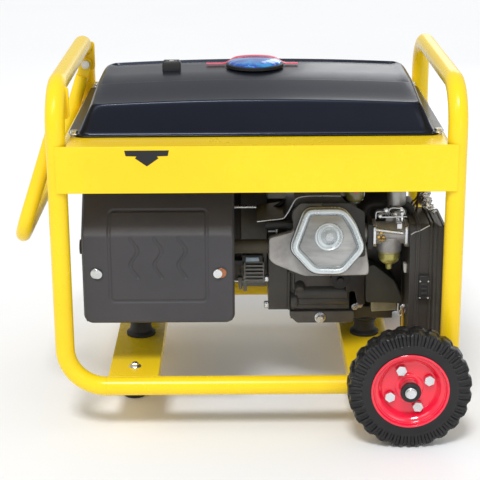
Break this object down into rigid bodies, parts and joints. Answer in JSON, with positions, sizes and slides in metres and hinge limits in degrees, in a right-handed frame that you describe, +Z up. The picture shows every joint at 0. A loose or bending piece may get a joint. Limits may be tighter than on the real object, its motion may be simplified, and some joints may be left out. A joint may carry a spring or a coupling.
{
  "type": "portable generator",
  "caption": "Open-frame portable engine generator: tube frame with fuel tank on top, engine and alternator below, two wheels, and a folding handle.",
  "frame": {"origin": "on the ground, at the middle of the bounding box", "axes": "+X along the crankshaft, from the folding handle towards the wheels; +Y from the muffler side towards the control panel; +Z up"},
  "size_m": [0.7569, 0.675, 0.604],
  "materials": {
    "frame_paint": "gloss",
    "tyre": "satin",
    "rim_paint": "gloss",
    "zinc": "satin",
    "rubber": "matte",
    "tank_paint": "gloss",
    "cap_blue": "gloss",
    "tag_red": "satin",
    "gauge_black": "gloss",
    "shield_paint": "matte",
    "muffler_steel": "matte",
    "casting_dark": "satin",
    "casting_light": "cast",
    "cover_aluminium": "polished",
    "shroud_black": "satin",
    "black_plastic": "satin",
    "cleaner_plastic": "satin",
    "filter_foam": "matte",
    "bowl_zinc": "satin",
    "machined_steel": "machined",
    "copper": "varnished",
    "laminations": "satin",
    "panel_paint": "satin",
    "switch_red": "gloss",
    "meter_white": "gloss",
    "brass": "polished"
  },
  "bodies": {
    "frame": {"hoop_left": "frame_paint", "hoop_right": "frame_paint", "frame_tubes": "frame_paint", "tank_beams": "frame_paint", "cross_members": "frame_paint", "support_legs": "frame_paint", "rubber_feet": "rubber", "engine_mounts": "rubber", "axle_stubs": "frame_paint", "axle_nuts": "zinc", "handle_ears": "frame_paint", "handle_bolts": "zinc", "tank_upper": "tank_paint", "tank_lower": "tank_paint", "fuel_gauge": "gauge_black", "fuel_tap": "zinc", "fuel_hose": "rubber", "muffler": "muffler_steel", "muffler_shield": "shield_paint", "fasteners": "zinc", "crankcase": "casting_dark", "side_cover": "casting_dark", "cylinder_head": "casting_light", "valve_cover": "cover_aluminium", "cooling_shroud": "shroud_black", "recoil_cover": "shroud_black", "carburetor": "casting_light", "carb_bowl": "bowl_zinc", "cleaner_base": "cleaner_plastic", "filter_element": "filter_foam", "breather_hose": "rubber", "spark_plug": "rubber", "stator": "laminations", "drive_end_bracket": "casting_light", "alternator_cover": "casting_light", "control_panel": "panel_paint", "sockets": "black_plastic", "voltmeter": "meter_white", "terminals": "brass"},
    "wheel_front": {"tyre_front": "tyre", "rim_front": "rim_paint", "hub_front": "zinc"},
    "wheel_rear": {"tyre_rear": "tyre", "rim_rear": "rim_paint", "hub_rear": "zinc"},
    "handle": {"handle_bar": "frame_paint"},
    "strainer": {"fuel_strainer": "zinc", "cap_tag": "tag_red"},
    "cap": {"fuel_cap": "cap_blue"},
    "tap": {"tap_lever": "switch_red"},
    "crank": {"crankshaft": "machined_steel", "flywheel": "casting_light", "rotor": "copper"},
    "starter": {"starter_grip": "black_plastic"},
    "dipstick": {"oil_fill_cap": "black_plastic"},
    "choke": {"choke_lever": "zinc"},
    "air_cover": {"cleaner_cover": "cleaner_plastic"},
    "clip": {"cleaner_clip": "black_plastic"},
    "breaker": {"breaker_toggle": "black_plastic"},
    "switch": {"engine_switch": "switch_red"}
  },
  "joints": [
    {"name": "wheel_front_spin", "type": "hinge", "parent": "frame", "child": "wheel_front", "pos_m": [0.27646, -0.305, 0.102], "axis": [0, 1, 0], "continuous": true},
    {"name": "wheel_rear_spin", "type": "hinge", "parent": "frame", "child": "wheel_rear", "pos_m": [0.27646, 0.305, 0.102], "axis": [0, 1, 0], "continuous": true},
    {"name": "handle_fold", "type": "hinge", "parent": "frame", "child": "handle", "pos_m": [-0.29054, 0, 0.547], "axis": [0, 1, 0], "range_deg": [0, 72]},
    {"name": "strainer_lift", "type": "slide", "parent": "frame", "child": "strainer", "axis": [0, 0, 1], "range_m": [0, 0.12]},
    {"name": "cap_turn", "type": "hinge", "parent": "strainer", "child": "cap", "pos_m": [0.02746, 0, 0.585], "axis": [0, 0, 1], "range_deg": [0, 90]},
    {"name": "tap_turn", "type": "hinge", "parent": "frame", "child": "tap", "pos_m": [0.19545, -0.142, 0.419], "axis": [0, 1, 0], "range_deg": [0, 90]},
    {"name": "crank_spin", "type": "hinge", "parent": "frame", "child": "crank", "pos_m": [0.14045, 0.02, 0.268], "axis": [1, 0, 0], "continuous": true},
    {"name": "starter_pull", "type": "slide", "parent": "frame", "child": "starter", "axis": [1, 0, 0], "range_m": [0, 0.6], "stiffness_N_per_m": 30, "springref_m": -0.5},
    {"name": "oil_cap_turn", "type": "hinge", "parent": "frame", "child": "dipstick", "pos_m": [0.17445, -0.092, 0.22], "axis": [0, 1, 0], "range_deg": [0, 720]},
    {"name": "choke_turn", "type": "hinge", "parent": "frame", "child": "choke", "pos_m": [0.26745, -0.152, 0.344], "axis": [0, 0, -1], "range_deg": [0, 60]},
    {"name": "air_cover_slide", "type": "slide", "parent": "frame", "child": "air_cover", "axis": [1, 0, 0], "range_m": [0, 0.1]},
    {"name": "clip_open", "type": "hinge", "parent": "air_cover", "child": "clip", "pos_m": [0.30995, -0.1935, 0.216], "axis": [1, 0, 0], "range_deg": [0, 110]},
    {"name": "breaker_flip", "type": "hinge", "parent": "frame", "child": "breaker", "pos_m": [-0.06605, 0.229, 0.266], "axis": [1, 0, 0], "range_deg": [-20, 0]},
    {"name": "switch_flip", "type": "hinge", "parent": "frame", "child": "switch", "pos_m": [-0.03004, 0.229, 0.266], "axis": [1, 0, 0], "range_deg": [-20, 0]}
  ]
}
